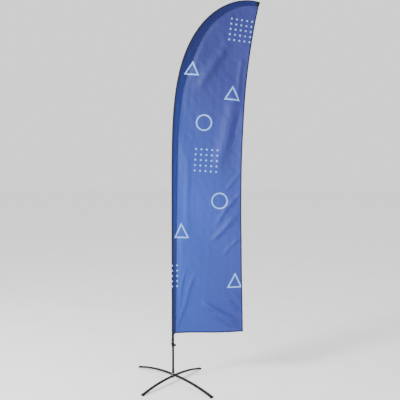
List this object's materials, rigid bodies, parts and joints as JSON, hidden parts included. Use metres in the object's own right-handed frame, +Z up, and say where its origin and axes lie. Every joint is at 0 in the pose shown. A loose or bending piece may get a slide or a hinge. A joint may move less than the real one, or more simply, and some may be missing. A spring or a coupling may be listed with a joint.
{
  "type": "feather flag with pole",
  "caption": "Feather flag: a printed cloth sail on a plug-together pole that bends over at the top and spins on a folding cross base.",
  "frame": {"origin": "on the floor under the middle of the object's box; the pole's axis stands at X = -0.205, Y = 0", "axes": "+Z up along the pole, +X from the pole towards the flag's trailing edge, Y across the flag's faces"},
  "size_m": [1.1309, 0.6404, 3.4091],
  "materials": {
    "black_steel": "satin",
    "black_plastic": "matte",
    "zinc_steel": "satin",
    "turned_steel": "satin",
    "white_acetal": "satin",
    "black_aluminium": "satin",
    "black_fibreglass": "gloss",
    "blue_polyester": "satin",
    "sleeve_polyester": "satin",
    "navy_binding": "matte",
    "black_webbing": "matte",
    "black_elastic": "matte"
  },
  "bodies": {
    "base": {"leg_bar_upper": "black_steel", "foot_cap_upper_front": "black_plastic", "foot_cap_upper_back": "black_plastic", "crush_bush_upper": "zinc_steel", "spindle": "turned_steel", "bar_spacer": "white_acetal", "lock_washer": "zinc_steel", "lock_nut": "zinc_steel", "thrust_washer": "zinc_steel", "spindle_top_washer": "zinc_steel", "spindle_top_nut": "zinc_steel"},
    "lower_bar": {"leg_bar_lower": "black_steel", "foot_cap_lower_front": "black_plastic", "foot_cap_lower_back": "black_plastic", "crush_bush_lower": "zinc_steel"},
    "rotor": {"rotor_tube": "turned_steel", "rotor_bush_low": "white_acetal", "rotor_bush_top": "white_acetal"},
    "pole": {"pole_foot_ferrule": "black_steel", "pole_tube_bottom": "black_aluminium", "pole_tube_middle": "black_aluminium", "pole_tube_upper": "black_fibreglass", "pole_tip_rod": "black_fibreglass", "ferrule_low": "black_steel", "ferrule_middle": "black_steel", "ferrule_high": "black_steel", "pole_tip_cap": "black_plastic", "tension_collar": "black_plastic", "tension_knob": "black_plastic", "tension_cord": "black_elastic", "strap_tab": "black_webbing", "flag_sleeve": "sleeve_polyester", "flag_tip_pocket": "black_webbing", "flag_panel": "blue_polyester", "flag_trailing_hem": "navy_binding", "flag_bottom_hem": "navy_binding"}
  },
  "joints": [
    {"name": "leg_fold", "type": "hinge", "parent": "base", "child": "lower_bar", "pos_m": [-0.205, 0, 0.053], "axis": [0, 0, 1], "range_deg": [-89, 91]},
    {"name": "flag_spin", "type": "hinge", "parent": "base", "child": "rotor", "pos_m": [-0.205, 0, 0.0819], "axis": [0, 0, 1], "continuous": true},
    {"name": "pole_lift", "type": "slide", "parent": "rotor", "child": "pole", "axis": [0, 0, 1], "range_m": [0, 0.145]}
  ]
}
